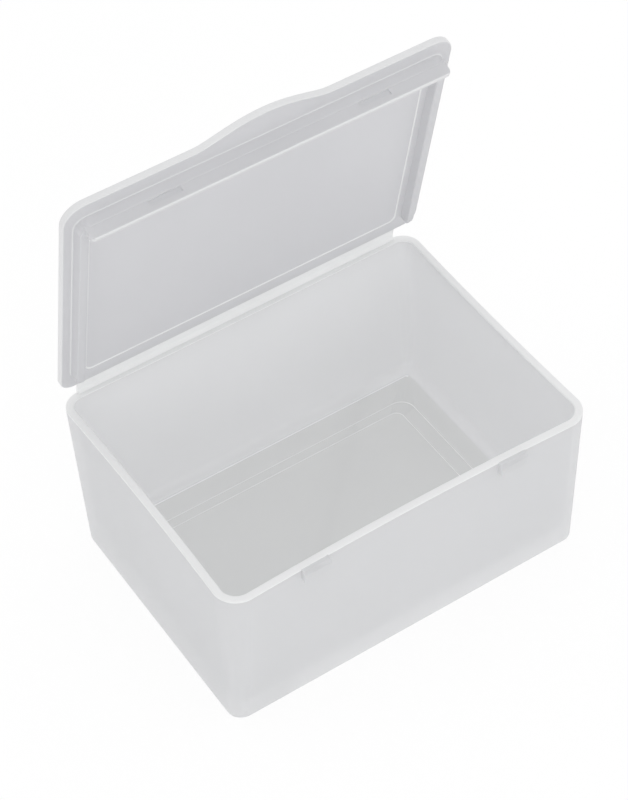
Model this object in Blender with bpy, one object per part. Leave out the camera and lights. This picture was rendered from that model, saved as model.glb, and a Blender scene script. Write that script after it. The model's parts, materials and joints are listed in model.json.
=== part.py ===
"""Hinged polypropylene tackle box, open, in metres with +Z up.

The tub stands on z = 0 with its front wall towards -Y. The lid turns about the bend line of its
living hinge, which runs along X above the back rim. Each lid piece is drawn as if the lid were shut,
with its origin on the bend line, and is then turned open.
"""

import math

import bmesh
import bpy
from mathutils import Vector

MM = 0.001

# Tub
HALF_LENGTH = 54.5 * MM
HALF_WIDTH = 41.0 * MM
HEIGHT = 50.0 * MM
WALL = 2.15 * MM
FLOOR = 2.0 * MM
END_DRAFT = 0.75 * MM
FRONT_DRAFT = 2.7 * MM
RIM_RADIUS = 6.2 * MM
BASE_RADIUS = 4.2 * MM
FLOOR_FILLET = 2.5 * MM
END_BOW = 0.5 * MM
FRONT_BOW = 0.9 * MM
BACK_BOW = 0.2 * MM
PANEL_HALF_LENGTH = 40.8 * MM
PANEL_HALF_WIDTH = 27.4 * MM
PANEL_RADIUS = 3.0 * MM
PANEL_RISE = 0.3 * MM
PANEL_SLOPE = 0.6 * MM

# Hinge
OPEN_ANGLE = math.radians(76.9)
BEND_Y = 40.82 * MM
BEND_Z = HEIGHT + 2.3 * MM
HINGE_HALF_LENGTH = 49.0 * MM
HINGE_THICKNESS = 0.6 * MM
UPSTAND_THICKNESS = 0.75 * MM
UPSTAND_TOP = HEIGHT + 1.2 * MM
GAP = 0.3 * MM

# Lid, measured forwards from the bend line
LID_HALF_LENGTH = 54.6 * MM
LID_BACK = 4.4 * MM
LID_FRONT = 82.0 * MM
LID_THICKNESS = 1.9 * MM
LID_TOP = -0.1 * MM
LID_UNDERSIDE = LID_TOP - LID_THICKNESS
LID_FRONT_RADIUS = 6.2 * MM
LID_BACK_RADIUS = 4.0 * MM
TAB_HALF_LENGTH = 18.5 * MM
TAB_REACH = 3.9 * MM

# Plug under the lid
PLUG_HALF_LENGTH = 51.6 * MM
PLUG_BACK = LID_BACK + 5.0 * MM
PLUG_FRONT = LID_FRONT - 4.6 * MM
PLUG_RADIUS = 3.0 * MM
RIDGE_WIDTH = 2.4 * MM
RIDGE_DEPTH = 2.8 * MM
SKIRT_HALF_LENGTH = 50.3 * MM
SKIRT_TIP_HALF_LENGTH = 49.8 * MM
SKIRT_DEPTH = 6.2 * MM
SKIRT_THICKNESS = 1.4 * MM
SKIRT_STEP = 0.1 * MM
SINK = 0.5 * MM

# Latch
LATCH_X = 29.3 * MM
WINDOW_LENGTH = 8.9 * MM
WINDOW_TOP = LID_UNDERSIDE - 0.8 * MM
WINDOW_BOTTOM = LID_UNDERSIDE - 4.4 * MM
CATCH_LENGTH = 8.0 * MM
CATCH_BOTTOM = HEIGHT - 4.0 * MM
CATCH_TOP = HEIGHT - 0.2 * MM
CATCH_SHOULDER = HEIGHT - 1.2 * MM
CATCH_PROUD = 1.1 * MM
CATCH_LIP = 0.35 * MM

# Facets
CORNER_STEPS = 6
SIDE_STEPS = 8
FILLET_STEPS = 3
TAB_STEPS = 16

POLYPROPYLENE = (0.80, 0.81, 0.82, 1.0)


def clear_scene():
    for obj in list(bpy.data.objects):
        bpy.data.objects.remove(obj)


def new_collection(name, hidden=False):
    collection = bpy.data.collections.new(name)
    bpy.context.scene.collection.children.link(collection)
    collection.hide_render = hidden
    return collection


def new_object(name, mesh, collection):
    obj = bpy.data.objects.new(name, mesh)
    collection.objects.link(obj)
    return obj


def plastic(name, colour, roughness):
    """One Principled plastic."""
    material = bpy.data.materials.new(name)
    material.use_nodes = True
    shader = material.node_tree.nodes["Principled BSDF"]
    shader.inputs["Base Color"].default_value = colour
    shader.inputs["Roughness"].default_value = roughness
    shader.inputs["Metallic"].default_value = 0.0
    material.diffuse_color = colour
    return material


def corner(centre_x, centre_y, radius, start):
    """A quarter turn from the angle start, in radians."""
    angles = (start + math.pi / 2 * i / CORNER_STEPS for i in range(CORNER_STEPS + 1))
    return [(centre_x + radius * math.cos(a), centre_y + radius * math.sin(a)) for a in angles]


def bowed_run(start, end, bow):
    """The points between start and end, on an arch that stands bow to the left at its middle."""
    (x0, y0), (x1, y1) = start, end
    length = math.hypot(x1 - x0, y1 - y0)
    left = (-(y1 - y0) / length, (x1 - x0) / length)
    points = []
    for i in range(1, SIDE_STEPS):
        t = i / SIDE_STEPS
        rise = bow * 4 * t * (1 - t)
        points.append((x0 + (x1 - x0) * t + left[0] * rise, y0 + (y1 - y0) * t + left[1] * rise))
    return points


def bowed_rectangle(half_x, half_y, radius, end_bow=0.0, front_bow=0.0, back_bow=0.0):
    """A rounded rectangle, anticlockwise, whose sides bow inwards."""
    corners = [
        corner(half_x - radius, half_y - radius, radius, 0.0),
        corner(-half_x + radius, half_y - radius, radius, math.pi / 2),
        corner(-half_x + radius, -half_y + radius, radius, math.pi),
        corner(half_x - radius, -half_y + radius, radius, math.pi * 1.5),
    ]
    bows = [back_bow, end_bow, front_bow, end_bow]
    points = []
    for i, arc in enumerate(corners):
        points += arc
        points += bowed_run(arc[-1], corners[(i + 1) % 4][0], bows[i])
    return points


def loft(name, sections, collection):
    """A closed body through sections of equal point counts, each an outline and its height."""
    shape = bmesh.new()
    rings = [[shape.verts.new((x, y, z)) for x, y in outline] for outline, z in sections]
    count = len(rings[0])
    for lower, upper in zip(rings, rings[1:]):
        for i in range(count):
            j = (i + 1) % count
            shape.faces.new((lower[i], lower[j], upper[j], upper[i]))
    shape.faces.new(list(reversed(rings[0])))
    shape.faces.new(rings[-1])
    bmesh.ops.recalc_face_normals(shape, faces=shape.faces)
    mesh = bpy.data.meshes.new(name)
    shape.to_mesh(mesh)
    shape.free()
    return new_object(name, mesh, collection)


def block(name, low, high, collection):
    """A box between two opposite corners."""
    shape = bmesh.new()
    bmesh.ops.create_cube(shape, size=1.0)
    low, high = Vector(low), Vector(high)
    bmesh.ops.scale(shape, vec=high - low, verts=shape.verts)
    bmesh.ops.translate(shape, vec=(low + high) / 2, verts=shape.verts)
    mesh = bpy.data.meshes.new(name)
    shape.to_mesh(mesh)
    shape.free()
    return new_object(name, mesh, collection)


def slab(name, outline, thickness, middle, turn, collection):
    """A flat outline made solid about its own plane, then turned and placed."""
    curve = bpy.data.curves.new(name, "CURVE")
    curve.dimensions = "2D"
    curve.fill_mode = "BOTH"
    curve.extrude = thickness / 2
    spline = curve.splines.new("POLY")
    spline.points.add(len(outline) - 1)
    for point, (x, y) in zip(spline.points, outline):
        point.co = (x, y, 0.0, 1.0)
    spline.use_cyclic_u = True
    source = new_object(name + "_outline", curve, collection)
    source.location = middle
    source.rotation_euler = turn
    bpy.context.view_layer.update()
    graph = bpy.context.evaluated_depsgraph_get()
    mesh = bpy.data.meshes.new_from_object(source.evaluated_get(graph))
    mesh.transform(source.matrix_world)
    mesh.name = name
    shape = bmesh.new()
    shape.from_mesh(mesh)
    bmesh.ops.remove_doubles(shape, verts=shape.verts, dist=1e-6)
    bmesh.ops.recalc_face_normals(shape, faces=shape.faces)
    shape.to_mesh(mesh)
    shape.free()
    bpy.data.objects.remove(source)
    return new_object(name, mesh, collection)


def combine(target, tool, operation):
    modifier = target.modifiers.new(tool.name, "BOOLEAN")
    modifier.operation = operation
    modifier.object = tool
    modifier.solver = "EXACT"
    tool.display_type = "WIRE"
    tool.hide_render = True


def finish(obj, material):
    obj.data.materials.clear()
    obj.data.materials.append(material)
    obj.data.shade_smooth()
    obj.data.set_sharp_from_angle(angle=math.radians(30))


def wall_section(height, inset, radius):
    """The tub's outline at a height, moved in by inset."""
    share = height / HEIGHT
    half_x = HALF_LENGTH - END_DRAFT * (1 - share) - inset
    half_y = HALF_WIDTH - FRONT_DRAFT * (1 - share) - inset
    outline = bowed_rectangle(
        half_x, half_y, radius, END_BOW * share, FRONT_BOW * share, BACK_BOW * share
    )
    return outline, height


def make_tub(parts, tools):
    inner_radius = RIM_RADIUS - WALL
    sections = [
        wall_section(0.0, 0.0, BASE_RADIUS),
        wall_section(HEIGHT, 0.0, RIM_RADIUS),
        wall_section(HEIGHT, WALL, inner_radius),
    ]
    for i in range(FILLET_STEPS + 1):
        angle = math.pi / 2 * i / FILLET_STEPS
        inset = WALL + FLOOR_FILLET * (1 - math.cos(angle))
        height = FLOOR + FLOOR_FILLET * (1 - math.sin(angle))
        sections.append(wall_section(height, inset, inner_radius - FLOOR_FILLET * (1 - math.cos(angle))))
    panel = bowed_rectangle(PANEL_HALF_LENGTH, PANEL_HALF_WIDTH, PANEL_RADIUS)
    raised = bowed_rectangle(
        PANEL_HALF_LENGTH - PANEL_SLOPE, PANEL_HALF_WIDTH - PANEL_SLOPE, PANEL_RADIUS - PANEL_SLOPE
    )
    sections += [(panel, FLOOR), (raised, FLOOR + PANEL_RISE)]
    tub = loft("tub", sections, parts)
    back = HALF_WIDTH - BACK_BOW - GAP
    upstand = block(
        "upstand",
        (-HINGE_HALF_LENGTH, back - UPSTAND_THICKNESS, HEIGHT - SINK),
        (HINGE_HALF_LENGTH, back, UPSTAND_TOP),
        tools,
    )
    combine(tub, upstand, "UNION")
    return tub


def make_catch(name, side, parts):
    """A wedge on the front wall: flat below, sloped above, to lead the lid over it."""
    along = LATCH_X / (HALF_LENGTH - RIM_RADIUS)
    bow = FRONT_BOW * (1 - along**2)
    drafted = HALF_WIDTH - FRONT_DRAFT * (1 - CATCH_BOTTOM / HEIGHT)
    back = drafted - bow + 2 * GAP
    wedge = [
        (-back, CATCH_BOTTOM),
        (-back, CATCH_TOP),
        (-back - CATCH_LIP, CATCH_TOP),
        (-back - CATCH_PROUD, CATCH_SHOULDER),
        (-back - CATCH_PROUD, CATCH_BOTTOM),
    ]
    upright = (math.pi / 2, 0.0, math.pi / 2)
    return slab(name, wedge, CATCH_LENGTH, (side * LATCH_X, 0.0, 0.0), upright, parts)


def lid_outline():
    """The lid's plate from above, anticlockwise, with the thumb tab as one smooth bulge."""
    back_x = LID_HALF_LENGTH - LID_BACK_RADIUS
    front_x = LID_HALF_LENGTH - LID_FRONT_RADIUS
    back_y = -LID_BACK - LID_BACK_RADIUS
    front_y = -LID_FRONT + LID_FRONT_RADIUS
    points = corner(back_x, back_y, LID_BACK_RADIUS, 0.0)
    points += corner(-back_x, back_y, LID_BACK_RADIUS, math.pi / 2)
    points += corner(-front_x, front_y, LID_FRONT_RADIUS, math.pi)
    for i in range(1, TAB_STEPS):
        x = TAB_HALF_LENGTH * (2 * i / TAB_STEPS - 1)
        reach = TAB_REACH * (1 - (x / TAB_HALF_LENGTH) ** 2) ** 1.5
        points.append((x, -LID_FRONT - reach))
    points += corner(front_x, front_y, LID_FRONT_RADIUS, math.pi * 1.5)
    return points


def plug_outline():
    """The plug ring from above: along one side, across the front and back along the other."""
    outer_x = PLUG_HALF_LENGTH - PLUG_RADIUS
    inner_x = PLUG_HALF_LENGTH - RIDGE_WIDTH
    front = -PLUG_FRONT + SKIRT_STEP
    inner_front = -PLUG_FRONT + SKIRT_THICKNESS - SKIRT_STEP
    points = [(-inner_x, -PLUG_BACK), (-PLUG_HALF_LENGTH, -PLUG_BACK)]
    points += corner(-outer_x, front + PLUG_RADIUS, PLUG_RADIUS, math.pi)
    points += corner(outer_x, front + PLUG_RADIUS, PLUG_RADIUS, math.pi * 1.5)
    points += [(PLUG_HALF_LENGTH, -PLUG_BACK), (inner_x, -PLUG_BACK)]
    points += [(inner_x, inner_front), (-inner_x, inner_front)]
    return points


def skirt_outline():
    """The front skirt from the front, narrower at its tip."""
    root = LID_UNDERSIDE + SINK
    tip = LID_UNDERSIDE - SKIRT_DEPTH
    return [
        (-SKIRT_HALF_LENGTH, root),
        (-SKIRT_TIP_HALF_LENGTH, tip),
        (SKIRT_TIP_HALF_LENGTH, tip),
        (SKIRT_HALF_LENGTH, root),
    ]


def make_lid(parts, tools):
    flat = (0.0, 0.0, 0.0)
    plate_middle = (0.0, 0.0, (LID_TOP + LID_UNDERSIDE) / 2)
    lid = slab("lid", lid_outline(), LID_THICKNESS, plate_middle, flat, parts)
    ring_depth = RIDGE_DEPTH + SINK
    ring_middle = (0.0, 0.0, LID_UNDERSIDE + SINK - ring_depth / 2)
    ring = slab("plug_ring", plug_outline(), ring_depth, ring_middle, flat, tools)
    skirt_middle = (0.0, -PLUG_FRONT + SKIRT_THICKNESS / 2, 0.0)
    upright = (math.pi / 2, 0.0, 0.0)
    skirt = slab("front_skirt", skirt_outline(), SKIRT_THICKNESS, skirt_middle, upright, tools)
    combine(lid, ring, "UNION")
    combine(lid, skirt, "UNION")
    for side, label in ((-1, "left"), (1, "right")):
        middle = side * LATCH_X
        window = block(
            "window_" + label,
            (middle - WINDOW_LENGTH / 2, -PLUG_FRONT - SINK, WINDOW_BOTTOM),
            (middle + WINDOW_LENGTH / 2, -PLUG_FRONT + SKIRT_THICKNESS + SINK, WINDOW_TOP),
            tools,
        )
        combine(lid, window, "DIFFERENCE")
    return lid


def make_living_hinge(parts):
    """The thin band between the bend line and the lid's back edge."""
    return block(
        "living_hinge",
        (-HINGE_HALF_LENGTH, -LID_BACK + GAP, LID_TOP - HINGE_THICKNESS),
        (HINGE_HALF_LENGTH, -GAP, LID_TOP),
        parts,
    )


def hang_on_bend_line(objects):
    """Puts each origin on the bend line and turns the pieces open."""
    for obj in objects:
        obj.location = (0.0, BEND_Y, BEND_Z)
        obj.rotation_euler = (-OPEN_ANGLE, 0.0, 0.0)


def main():
    clear_scene()
    parts = new_collection("tackle_box")
    tools = new_collection("tackle_box_tools", hidden=True)
    tub = make_tub(parts, tools)
    left = make_catch("front_catch_left", -1, parts)
    right = make_catch("front_catch_right", 1, parts)
    lid = make_lid(parts, tools)
    hinge = make_living_hinge(parts)
    lid_tools = [obj for obj in tools.objects if obj.name != "upstand"]
    hang_on_bend_line([lid, hinge] + lid_tools)
    finish(tub, plastic("tub_plastic", POLYPROPYLENE, 0.35))
    finish(left, plastic("left_catch_plastic", POLYPROPYLENE, 0.35))
    finish(right, plastic("right_catch_plastic", POLYPROPYLENE, 0.35))
    finish(lid, plastic("lid_plastic", POLYPROPYLENE, 0.32))
    finish(hinge, plastic("hinge_plastic", POLYPROPYLENE, 0.25))


main()
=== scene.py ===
import json
import math

import bmesh
import bpy
import numpy as np
from mathutils import Matrix, Vector


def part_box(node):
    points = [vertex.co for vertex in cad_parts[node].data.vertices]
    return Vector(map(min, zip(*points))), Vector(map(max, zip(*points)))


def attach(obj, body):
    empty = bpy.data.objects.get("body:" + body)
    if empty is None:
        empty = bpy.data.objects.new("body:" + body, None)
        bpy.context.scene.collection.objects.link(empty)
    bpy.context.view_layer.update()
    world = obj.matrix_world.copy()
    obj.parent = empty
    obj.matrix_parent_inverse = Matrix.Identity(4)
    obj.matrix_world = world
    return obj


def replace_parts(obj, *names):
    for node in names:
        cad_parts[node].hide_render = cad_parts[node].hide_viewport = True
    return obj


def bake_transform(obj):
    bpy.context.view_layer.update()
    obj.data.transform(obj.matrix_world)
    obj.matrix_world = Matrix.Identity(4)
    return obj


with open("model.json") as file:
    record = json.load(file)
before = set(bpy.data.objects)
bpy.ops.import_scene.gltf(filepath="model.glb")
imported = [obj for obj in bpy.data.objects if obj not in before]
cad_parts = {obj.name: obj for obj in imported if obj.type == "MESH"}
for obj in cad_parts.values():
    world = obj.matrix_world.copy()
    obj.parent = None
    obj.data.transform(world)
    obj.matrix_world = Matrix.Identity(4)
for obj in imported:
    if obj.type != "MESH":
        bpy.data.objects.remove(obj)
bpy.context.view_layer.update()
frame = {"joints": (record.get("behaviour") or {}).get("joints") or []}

MM = 0.001

# From the frame
HALF_LENGTH, HALF_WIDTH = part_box("tub")[1][:2]
LID_HALF_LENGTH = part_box("lid")[1][0]
HINGE = frame["joints"][0]
BEND_Y, BEND_Z = HINGE["pos_m"][1:]
OPEN_ANGLE = -math.radians(HINGE["range_deg"][0])

# Tub. Its box reaches past the rim, up the root of the hinge, so the rim has its own height.
# RIM_RADII run back right, back left, front left, front right
RIM = 50.0 * MM
WALL = 2.15 * MM
FLOOR = 2.0 * MM
END_DRAFT = 0.75 * MM
FRONT_DRAFT = 2.7 * MM
RIM_RADII = [5.5 * MM, 5.5 * MM, 6.6 * MM, 6.6 * MM]
BASE_RADIUS = 4.2 * MM
LEAST_RADIUS = 1.2 * MM
END_BOW = 0.5 * MM
FRONT_BOW = 1.0 * MM
BACK_BOW = 0.2 * MM
TUB_EDGE = 0.3 * MM
RIM_BAND = 1.2 * MM
FOOT_WIDTH = 3.0 * MM
RECESS_INSET = 3.6 * MM
RECESS_HEIGHT = 0.4 * MM
FLOOR_FILLET = 2.5 * MM
FLOOR_LINE = 0.35 * MM
BACK_RUN = 8.0 * MM

# The raised panel in the floor, outermost outline first: half length, half width, radius and height
FLOOR_PANEL = [
    (43.6 * MM, 27.0 * MM, 4.5 * MM, 2.0 * MM),
    (43.3 * MM, 26.7 * MM, 4.3 * MM, 2.12 * MM),
    (39.1 * MM, 23.8 * MM, 2.6 * MM, 2.32 * MM),
    (38.85 * MM, 23.55 * MM, 2.4 * MM, 2.4 * MM),
]

# Catches. The slope runs back and down from the crown, and the nose is the upright face's top
CATCH_ROOT = 0.9 * MM
CATCH_CROWN = 0.12 * MM
CATCH_RUN = 0.6 * MM
CATCH_DROP = 0.9 * MM
CATCH_NOSE = 1.15 * MM
CATCH_ROUND = 0.2 * MM

# Lid, measured forwards from the bend line with the lid shut
LID_BACK = 4.4 * MM
LID_FRONT = 82.0 * MM
LID_TOP = -0.1 * MM
UNDERSIDE = LID_TOP - 1.9 * MM
LID_EDGE = 0.35 * MM
LID_BACK_RADIUS = 4.0 * MM
LID_FRONT_RADIUS = 6.0 * MM
BACK_EDGE = 0.5 * MM
TAB_REACH = 3.9 * MM
TAB_HALF_LENGTH = 18.5 * MM

# The plug under the lid. RIDGE_SECTION runs from the outer root to the inner root: distance in
# from the outer face, and depth
PLUG_FRONT = LID_FRONT - 4.6 * MM
PLUG_BACK = LID_BACK + 3.9 * MM
RIDGE_END = LID_BACK + 5.2 * MM
RIDGE_INSET = 2.8 * MM
RIDGE_RADIUS = 3.4 * MM
LEAST_RIDGE_RADIUS = 0.8 * MM
RIDGE_DEPTH = 2.8 * MM
RIDGE_SECTION = [
    (-0.3 * MM, 0),
    (0, 0.15 * MM),
    (0.4 * MM, RIDGE_DEPTH - 0.15 * MM),
    (0.55 * MM, RIDGE_DEPTH),
    (2.3 * MM, RIDGE_DEPTH),
    (2.5 * MM, RIDGE_DEPTH - 0.2 * MM),
    (2.6 * MM, 0),
]

# The thinner panel inside the plug
PANEL_HALF_LENGTH = 47.4 * MM
PANEL_FRONT = LID_FRONT - 7.6 * MM
PANEL_BACK = LID_BACK + 4.7 * MM
PANEL_RADIUS = 2.0 * MM
PANEL_SLOPE = 0.3 * MM
PANEL_RISE = 0.2 * MM

# Skirt. SKIRT_END runs along its rounded end: distance from the middle, and how far the tip is up
SKIRT_FRONT = PLUG_FRONT - 0.45 * MM
SKIRT_THICKNESS = 1.45 * MM
SKIRT_ROOT = 2.0 * MM
SKIRT_DEPTH = 6.2 * MM
SKIRT_DRAFT = 0.2 * MM
SKIRT_CHAMFER = 0.25 * MM
SKIRT_END = [(50.4 * MM, 1.1 * MM), (50.2 * MM, 0.55 * MM), (49.5 * MM, 0.055 * MM), (48.8 * MM, 0)]
WINDOW_X = 29.3 * MM
WINDOW_LENGTH = 8.9 * MM
WINDOW_TOP = 0.9 * MM
WINDOW_BOTTOM = 4.4 * MM
WINDOW_DEPTH = 0.9 * MM

# Hinge band. BAND_RISE runs up from the rim: height above it, and how far in from the back wall
# the band's inner and outer faces are
BAND_HALF_LENGTH = 49.0 * MM
BAND_RISE = [
    (-0.1 * MM, 1.05 * MM, 0.15 * MM),
    (0.1 * MM, 0.95 * MM, 0.12 * MM),
    (0.5 * MM, 0.86 * MM, 0.1 * MM),
    (1.0 * MM, 0.82 * MM, 0.1 * MM),
    (1.5 * MM, 0.78 * MM, 0.12 * MM),
]
BAND_START = 0.5 * MM
BAND_END = 4.9 * MM
BAND_MIDDLE = 0.42 * MM
BAND_HALF_THICKNESS = 0.3 * MM

# Numbers of the materials on a piece. 0 is its wall; the others are painted light: painted light on the
# rims and edges, a painted glint on thin lines, and painted shade on the tub's floor
EDGE_LIGHT, GLINT, FLOOR_SHADE = 1, 2, 3

# Facets
CORNER_STEPS = 14
SIDE_STEPS = 56
WALL_STEPS = 14
BAND_STEPS = 14
FILLET_STEPS = 8
EDGE_STEPS = 4
FOOT_STEPS = 3
SHARP_ANGLE = math.radians(25)
LARGE_FACE = 3.0 * MM**2
PRISM_ROUND = 0.12 * MM
PRISM_END_SHARE = 0.9


# ---------------------------------------------------------------- outlines and lofts


def tab_reach(x):
    """How far the thumb tab stands out from the lid's front edge at x."""
    return TAB_REACH * np.clip(1 - (x / TAB_HALF_LENGTH) ** 2, 0, 1) ** 1.5


def rounded(half_x, low_y, high_y, radii, bows=(0, 0, 0, 0), tab=False):
    """A rounded rectangle as an array of points, anticlockwise from the back right corner.

    radii run back right, back left, front left, front right, and bows run back, left, front, right.
    A bow pulls the middle of a side inwards.
    """
    centres = [
        (half_x - radii[0], high_y - radii[0]),
        (-half_x + radii[1], high_y - radii[1]),
        (-half_x + radii[2], low_y + radii[2]),
        (half_x - radii[3], low_y + radii[3]),
    ]
    inward = [(0, -1), (1, 0), (0, 1), (-1, 0)]
    quarter_turn = np.linspace(0, math.pi / 2, CORNER_STEPS + 1)
    t = np.linspace(0, 1, SIDE_STEPS + 1)[1:-1, None]
    points = []
    for i in range(4):
        following = (i + 1) % 4
        turn = quarter_turn + i * math.pi / 2
        directions = np.column_stack([np.cos(turn), np.sin(turn)])
        arc = directions * radii[i] + centres[i]
        side_end = directions[-1] * radii[following] + centres[following]
        side = arc[-1] * (1 - t) + side_end * t
        side += np.array(inward[i]) * bows[i] * 4 * t * (1 - t)
        if tab and i == 2:
            side[:, 1] -= tab_reach(side[:, 0])
        points += [arc, side]
    return np.concatenate(points)


def level(outline, height):
    """An outline at a height, or at one height for each point."""
    return np.column_stack([outline, np.broadcast_to(height, len(outline))])


def quarter(steps):
    """(sine, cosine) pairs over a quarter turn."""
    return [(math.sin(a), math.cos(a)) for a in np.linspace(0, math.pi / 2, steps + 1)]


def shade(mesh):
    """Round stretches shade smooth, and large or many-sided faces stay flat."""
    mesh.shade_smooth()
    mesh.set_sharp_from_angle(angle=SHARP_ANGLE)
    for face in mesh.polygons:
        if len(face.vertices) > 4 or face.area > LARGE_FACE:
            face.use_smooth = False


def make_object(name, mesh):
    """Puts a closed mesh in the scene with its faces turned outwards."""
    made = bmesh.new()
    made.from_mesh(mesh)
    bmesh.ops.recalc_face_normals(made, faces=made.faces)
    made.to_mesh(mesh)
    made.free()
    shade(mesh)
    obj = bpy.data.objects.new(name, mesh)
    bpy.context.scene.collection.objects.link(obj)
    return obj


def loft(name, rings, strips=None):
    """A closed mesh through rings of equal point counts, capped at both ends.

    strips gives the material number of the strip of faces after a ring, by the ring's number.
    """
    count = len(rings[0])
    last = (len(rings) - 1) * count
    faces = []
    for low in range(0, last, count):
        for i in range(count):
            j = (i + 1) % count
            faces.append((low + i, low + j, low + count + j, low + count + i))
    faces.append(tuple(range(count - 1, -1, -1)))
    faces.append(tuple(range(last, last + count)))
    mesh = bpy.data.meshes.new(name)
    mesh.from_pydata(np.concatenate(rings).tolist(), [], faces)
    for number, material in (strips or {}).items():
        for face in mesh.polygons[number * count : (number + 1) * count]:
            face.material_index = material
    return make_object(name, mesh)


def prism(name, section, half_length, middle=0.0):
    """A (y, z) section run along X, its ends slightly rounded."""
    section = np.array(section)
    centre = section.mean(axis=0)
    end, full = half_length, half_length - PRISM_ROUND
    rings = []
    for x, share in ((-end, PRISM_END_SHARE), (-full, 1), (full, 1), (end, PRISM_END_SHARE)):
        points = centre + (section - centre) * share
        rings.append(np.column_stack([np.full(len(section), middle + x), points]))
    return loft(name, rings)


def combine(obj, other, operation):
    """Unites other with obj, or cuts it out of obj, and removes other."""
    change = obj.modifiers.new(operation, "BOOLEAN")
    change.operation = operation
    change.object = other
    graph = bpy.context.evaluated_depsgraph_get()
    mesh = bpy.data.meshes.new_from_object(obj.evaluated_get(graph))
    obj.modifiers.clear()
    obj.data = mesh
    shade(mesh)
    bpy.data.objects.remove(other)


# ---------------------------------------------------------------- tub


def tub_ring(height, inset):
    """The tub's outline at a height, moved in from its outer face."""
    share = min(max(height / RIM, 0), 1)
    half_x = HALF_LENGTH - END_DRAFT * (1 - share) - inset
    half_y = HALF_WIDTH - FRONT_DRAFT * (1 - share) - inset
    radii = [max(BASE_RADIUS + (r - BASE_RADIUS) * share - inset, LEAST_RADIUS) for r in RIM_RADII]
    bows = [bow * share for bow in (BACK_BOW, END_BOW, FRONT_BOW, END_BOW)]
    return level(rounded(half_x, -half_y, half_y, radii, bows), height)


def floor_ring(half_x, half_y, radius, height):
    return level(rounded(half_x, -half_y, half_y, [radius] * 4), height)


def make_tub():
    """One loft: from the recess in the base up the outside, over the rim and down to the floor."""
    recess = tub_ring(0, RECESS_INSET)
    recess[:, 2] = RECESS_HEIGHT
    rings = [recess, tub_ring(0, FOOT_WIDTH)]
    rings += [tub_ring(TUB_EDGE * (1 - c), TUB_EDGE * (1 - s)) for s, c in quarter(FOOT_STEPS)]
    rings += [tub_ring(z, 0) for z in np.linspace(TUB_EDGE, RIM - RIM_BAND, WALL_STEPS)[1:]]
    rim_starts = len(rings)
    rings += [tub_ring(RIM - TUB_EDGE * (1 - s), TUB_EDGE * (1 - c)) for s, c in quarter(EDGE_STEPS)]
    for s, c in quarter(EDGE_STEPS):
        rings.append(tub_ring(RIM - TUB_EDGE * (1 - c), WALL - TUB_EDGE * (1 - s)))
    rim_ends = len(rings) - 1
    fillet_top = FLOOR + FLOOR_FILLET
    rings += [tub_ring(z, WALL) for z in np.linspace(RIM - TUB_EDGE, fillet_top, WALL_STEPS)[1:]]
    for s, c in quarter(FILLET_STEPS)[1:]:
        rings.append(tub_ring(fillet_top - FLOOR_FILLET * s, WALL + FLOOR_FILLET * (1 - c)))
    floor_starts = len(rings) - 1
    rings.append(tub_ring(FLOOR, WALL + FLOOR_FILLET + FLOOR_LINE))
    panel_starts = len(rings)
    rings += [floor_ring(*outline) for outline in FLOOR_PANEL]
    # The rim takes the painted edge light, the floor painted shade, and the lines on the floor a painted
    # glint
    strips = dict.fromkeys(range(rim_starts, rim_ends), EDGE_LIGHT)
    strips.update(dict.fromkeys(range(floor_starts, len(rings) - 1), FLOOR_SHADE))
    strips.update(dict.fromkeys([floor_starts, panel_starts, panel_starts + 2], GLINT))
    tub = loft("tub_shell", rings, strips)
    tub.data.polygons[-1].material_index = FLOOR_SHADE
    dim_floor_line(tub)
    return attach(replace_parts(tub, "tub"), "tub_body")


def dim_floor_line(tub):
    """Of the line round the floor, only the run along the back keeps its painted glint, as only there does
    it catch the light; the rest takes the floor's painted shade.
    """
    for face in tub.data.polygons:
        on_floor = abs(face.center.z - FLOOR) < 0.02 * MM
        if on_floor and face.material_index == GLINT and face.center.y < HALF_WIDTH - BACK_RUN:
            face.material_index = FLOOR_SHADE


def make_catch(name):
    """A wedge on the outside of the front wall, its lead-in slope at the rim."""
    low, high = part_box(name)
    front, bottom, top = low[1], low[2], high[2]
    back = high[1] + CATCH_ROOT
    section = [
        (back, bottom),
        (back, top + CATCH_CROWN),
        (front + CATCH_RUN + CATCH_ROUND, top + CATCH_CROWN),
        (front + CATCH_RUN, top),
        (front + CATCH_ROUND / 2, top - CATCH_DROP),
        (front, top - CATCH_NOSE),
        (front, bottom + CATCH_ROUND),
        (front + CATCH_ROUND, bottom),
    ]
    half_length, middle = (high[0] - low[0]) / 2, (low[0] + high[0]) / 2
    catch = prism(name + "_shell", section, half_length, middle)
    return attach(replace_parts(catch, name), "tub_body")


# ---------------------------------------------------------------- lid


def lid_ring(inset, height):
    radii = [r - inset for r in (LID_BACK_RADIUS, LID_BACK_RADIUS, LID_FRONT_RADIUS, LID_FRONT_RADIUS)]
    outline = rounded(LID_HALF_LENGTH - inset, inset - LID_FRONT, -LID_BACK - inset, radii, tab=True)
    return level(outline, height)


def plug_ring(inset, depth):
    """The ridge under the lid. It has no depth along the back."""
    half = LID_HALF_LENGTH - RIDGE_INSET - inset
    radius = max(RIDGE_RADIUS - inset, LEAST_RIDGE_RADIUS)
    outline = rounded(half, inset - PLUG_FRONT, -PLUG_BACK - inset / 4, [radius] * 4)
    return level(outline, np.where(outline[:, 1] < -RIDGE_END, UNDERSIDE - depth, UNDERSIDE))


def panel_ring(inset, rise):
    low, high = inset - PANEL_FRONT, -PANEL_BACK - inset
    return level(rounded(PANEL_HALF_LENGTH - inset, low, high, [PANEL_RADIUS] * 4), UNDERSIDE + rise)


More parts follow.
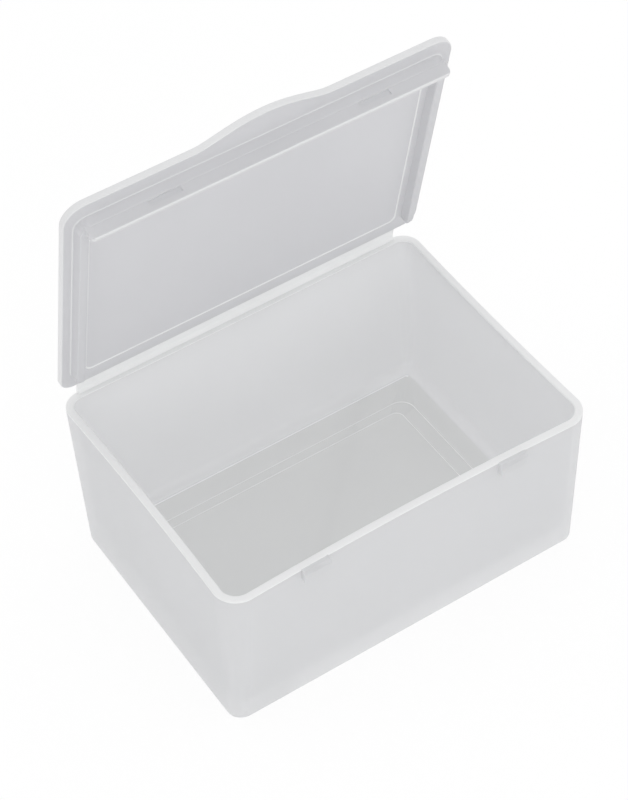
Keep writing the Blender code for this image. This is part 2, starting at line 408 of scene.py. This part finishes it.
def make_lid():
    """The plate, ridge and panel as one loft from the top down, and the skirt united with it."""
    rings = [lid_ring(LID_EDGE * (1 - s), LID_TOP - LID_EDGE * (1 - c)) for s, c in quarter(EDGE_STEPS)]
    rings += [lid_ring(LID_EDGE * (1 - c), UNDERSIDE + LID_EDGE * (1 - s)) for s, c in quarter(EDGE_STEPS)]
    underside = len(rings) - 1
    rings += [plug_ring(inset, depth) for inset, depth in RIDGE_SECTION]
    panel = len(rings)
    rings += [panel_ring(0, 0), panel_ring(PANEL_SLOPE, PANEL_RISE)]
    # The plate's edges and the ridge's root take the painted edge light, and the panel's outline a painted
    # glint
    strips = dict.fromkeys(range(EDGE_STEPS // 2, underside), EDGE_LIGHT)
    strips[underside + 1] = EDGE_LIGHT
    strips[panel] = GLINT
    lid = loft("lid_shell", rings, strips)
    dim_back_edge(lid)
    combine(lid, make_skirt(), "UNION")
    hang(lid)
    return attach(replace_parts(lid, "lid"), "lid_body")


def dim_back_edge(lid):
    """The edge that the hinge band meets goes without the painted edge light and looks like the plate."""
    for face in lid.data.polygons:
        if face.center.y > -LID_BACK - BACK_EDGE and face.center.z > UNDERSIDE + 0.4 * LID_EDGE:
            face.material_index = 0


def make_skirt():
    """The deep front of the plug, with two windows in its front face."""
    front, back = -SKIRT_FRONT, SKIRT_THICKNESS - SKIRT_FRONT
    root, tip = UNDERSIDE - SKIRT_ROOT, UNDERSIDE - SKIRT_DEPTH
    rings = []
    for x, rise in [(-x, rise) for x, rise in SKIRT_END] + SKIRT_END[::-1]:
        low = tip + rise
        section = [
            (front, root),
            (front + SKIRT_DRAFT, low + SKIRT_CHAMFER),
            (front + SKIRT_DRAFT + SKIRT_CHAMFER, low),
            (back - SKIRT_CHAMFER, low),
            (back, low + SKIRT_CHAMFER),
            (back + SKIRT_DRAFT / 2, root),
        ]
        rings.append(np.column_stack([np.full(len(section), x), section]))
    skirt = loft("skirt", rings)
    for side in (-1, 1):
        window = prism("window", window_section(), WINDOW_LENGTH / 2, side * WINDOW_X)
        combine(skirt, window, "DIFFERENCE")
    # The skirt's tip takes the painted edge light
    for face in skirt.data.polygons:
        if face.center.z < tip + SKIRT_CHAMFER + 0.1 * MM:
            face.material_index = EDGE_LIGHT
    return skirt


def window_section():
    low, high = UNDERSIDE - WINDOW_BOTTOM, UNDERSIDE - WINDOW_TOP
    near, far = -PLUG_FRONT - 1.0 * MM, WINDOW_DEPTH - PLUG_FRONT
    return [(near, low), (far, low), (far, high), (near, high)]


def hang(obj):
    """Turns a piece drawn shut, with the bend line as its X axis, to where the open lid is."""
    turn = Matrix.Rotation(-OPEN_ANGLE, 4, "X")
    obj.data.transform(Matrix.Translation((0, BEND_Y, BEND_Z)) @ turn)


def make_hinge():
    """The flexible band, from the back of the rim to the lid's back edge."""
    along = Vector((-math.cos(OPEN_ANGLE), math.sin(OPEN_ANGLE)))
    out = Vector((math.sin(OPEN_ANGLE), math.cos(OPEN_ANGLE)))
    inner = [(HALF_WIDTH - inside, RIM + height) for height, inside, _ in BAND_RISE]
    outer = [(HALF_WIDTH - outside, RIM + height) for height, _, outside in BAND_RISE]
    for step in np.linspace(BAND_START, BAND_END, BAND_STEPS):
        middle = Vector((BEND_Y, BEND_Z)) + along * step - out * BAND_MIDDLE
        inner.append(tuple(middle - out * BAND_HALF_THICKNESS))
        outer.append(tuple(middle + out * BAND_HALF_THICKNESS))
    band = prism("hinge_band", inner + outer[::-1], BAND_HALF_LENGTH)
    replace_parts(band, "living_hinge")
    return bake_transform(band)


# ---------------------------------------------------------------- plastic


def frosted(name, colour, roughness, through_share, clear_share):
    """Frosted polypropylene: part scattered back, part scattered through and part clear."""
    material = bpy.data.materials.new(name)
    material.use_nodes = True
    nodes, links = material.node_tree.nodes, material.node_tree.links
    place = nodes.new("ShaderNodeTexCoord")
    flow = noise(nodes, links, place, 30.0, 3.0)
    grain = noise(nodes, links, place, 2500.0, 2.0)
    tint = nodes.new("ShaderNodeMix")
    tint.data_type = "RGBA"
    tint.inputs["A"].default_value = [c * 0.985 for c in colour] + [1]
    tint.inputs["B"].default_value = [min(c * 1.015, 1) for c in colour] + [1]
    bump = nodes.new("ShaderNodeBump")
    bump.inputs["Strength"].default_value = 0.05
    bump.inputs["Distance"].default_value = 0.03 * MM
    surface = nodes["Principled BSDF"]
    surface.inputs["Roughness"].default_value = roughness
    surface.inputs["IOR"].default_value = 1.49
    through = nodes.new("ShaderNodeBsdfTranslucent")
    clear = nodes.new("ShaderNodeBsdfTransparent")
    links.new(flow.outputs["Fac"], tint.inputs["Factor"])
    links.new(tint.outputs["Result"], surface.inputs["Base Color"])
    links.new(tint.outputs["Result"], through.inputs["Color"])
    links.new(grain.outputs["Fac"], bump.inputs["Height"])
    links.new(bump.outputs["Normal"], surface.inputs["Normal"])
    scattered = mixed(nodes, links, surface.outputs["BSDF"], through.outputs["BSDF"], through_share)
    whole = mixed(nodes, links, scattered, clear.outputs["BSDF"], clear_share)
    links.new(whole, nodes["Material Output"].inputs["Surface"])
    return material


def noise(nodes, links, place, scale, detail):
    """A noise texture on the piece's own coordinates."""
    texture = nodes.new("ShaderNodeTexNoise")
    texture.inputs["Scale"].default_value = scale
    texture.inputs["Detail"].default_value = detail
    links.new(place.outputs["Object"], texture.inputs["Vector"])
    return texture


def mixed(nodes, links, first, second, share):
    """The first shader, but for a share of the second."""
    mix = nodes.new("ShaderNodeMixShader")
    mix.inputs["Fac"].default_value = share
    links.new(first, mix.inputs[1])
    links.new(second, mix.inputs[2])
    return mix.outputs["Shader"]


def dress(obj, slot, *materials):
    """Gives a piece its materials, numbered from 0. The slot is not used."""
    for material in materials:
        obj.data.materials.append(material)


# ---------------------------------------------------------------- studio


def make_floor():
    """A white floor that glows a little, so that it renders as plain as the photograph's ground."""
    reach = 3.0
    corners = [(-reach, -reach, 0), (reach, -reach, 0), (reach, reach, 0), (-reach, reach, 0)]
    mesh = bpy.data.meshes.new("floor")
    mesh.from_pydata(corners, [], [(0, 1, 2, 3)])
    floor = bpy.data.objects.new("floor", mesh)
    bpy.context.scene.collection.objects.link(floor)
    floor.location.z = -0.05 * MM
    material = bpy.data.materials.new("pale_floor")
    material.use_nodes = True
    shader = material.node_tree.nodes["Principled BSDF"]
    shader.inputs["Base Color"].default_value = (0.12, 0.12, 0.12, 1)
    shader.inputs["Roughness"].default_value = 0.9
    shader.inputs["Specular IOR Level"].default_value = 0.0
    shader.inputs["Emission Color"].default_value = (1, 1, 1, 1)
    shader.inputs["Emission Strength"].default_value = 0.88
    mesh.materials.append(material)


def make_world():
    world = bpy.data.worlds.new("studio")
    bpy.context.scene.world = world
    world.use_nodes = True
    background = world.node_tree.nodes["Background"]
    background.inputs["Color"].default_value = (1, 1, 1, 1)
    background.inputs["Strength"].default_value = 0.95


def softbox(name, place, target, size, power):
    light = bpy.data.lights.new(name, "AREA")
    light.shape = "RECTANGLE"
    light.size, light.size_y = size
    light.energy = power
    box = bpy.data.objects.new(name, light)
    bpy.context.scene.collection.objects.link(box)
    box.location = place
    box.rotation_euler = (Vector(target) - Vector(place)).to_track_quat("-Z", "Y").to_euler()


def make_camera():
    """The photograph's view: from the front left and above, rolled slightly."""
    azimuth, elevation, roll = (math.radians(a) for a in (-31.248, 47.834, -2.881))
    distance = 651.3 * MM
    across, upward = -3.336 * MM, 18.72 * MM
    flat = math.cos(elevation)
    back = Vector((math.sin(azimuth) * flat, -math.cos(azimuth) * flat, math.sin(elevation)))
    level_right = (-back).cross(Vector((0, 0, 1))).normalized()
    level_up = level_right.cross(-back)
    right = level_right * math.cos(roll) + level_up * math.sin(roll)
    up = level_up * math.cos(roll) - level_right * math.sin(roll)
    camera = bpy.data.cameras.new("camera")
    camera.lens = 112.15
    camera.sensor_width = 36.0
    obj = bpy.data.objects.new("camera", camera)
    bpy.context.scene.collection.objects.link(obj)
    place = back * distance + right * across + up * upward + Vector((0, 0, RIM / 2))
    axes = Matrix((right, up, back)).transposed().to_4x4()
    obj.matrix_world = Matrix.Translation(place) @ axes
    bpy.context.scene.camera = obj


def make_pieces():
    tub_wall = frosted("frosted_tub_wall", (0.838, 0.841, 0.849), 0.38, 0.56, 0.2)
    # A darker copy of the wall plastic: painted shade on the floor inside the tub
    floor_shade = frosted("frosted_floor_shade", (0.77, 0.775, 0.77), 0.38, 0.56, 0.14)
    # A more opaque copy for the rim: painted light on the rim's edges
    tub_edge_light = frosted("frosted_edge_light", (0.83, 0.833, 0.836), 0.3, 0.1, 0.0)
    # Darker than the tub's plastic: painted shade on the lid; its slight blue tint is the plastic's own
    lid_wall_shaded = frosted("frosted_lid_wall_shaded", (0.788, 0.789, 0.803), 0.38, 0.5, 0.0)
    # An opaque copy for the lid's edges and the skirt's tip: painted light
    lid_edge_light = frosted("frosted_lid_edge_light", (0.75, 0.753, 0.76), 0.3, 0.1, 0.0)
    # Near white: a painted glint on the thin lines of the floor and the lid's panel
    line = frosted("frosted_glint", (0.97, 0.975, 0.975), 0.3, 0.4, 0.0)
    # Near white and opaque: painted light that lifts the hinge band out of the shade of the lid and tub
    film = frosted("frosted_film_lit", (0.97, 0.975, 0.975), 0.3, 0.3, 0.0)
    dress(make_tub(), "tub_plastic", tub_wall, tub_edge_light, line, floor_shade)
    for name in ("front_catch_left", "front_catch_right"):
        dress(make_catch(name), "tub_plastic", tub_wall)
    dress(make_lid(), "lid_plastic", lid_wall_shaded, lid_edge_light, line)
    dress(make_hinge(), "hinge_plastic", film)


def main():
    make_camera()
    make_pieces()
    make_floor()
    make_world()
    softbox("overhead", (0.1, 0.0, 1.2), (0, 0, 0.05), (0.9, 0.9), 0.7)
    softbox("front", (-0.35, -1.25, 0.35), (0, 0, 0.03), (0.7, 0.4), 1.9)
    bpy.context.scene.view_settings.view_transform = "Standard"


main()
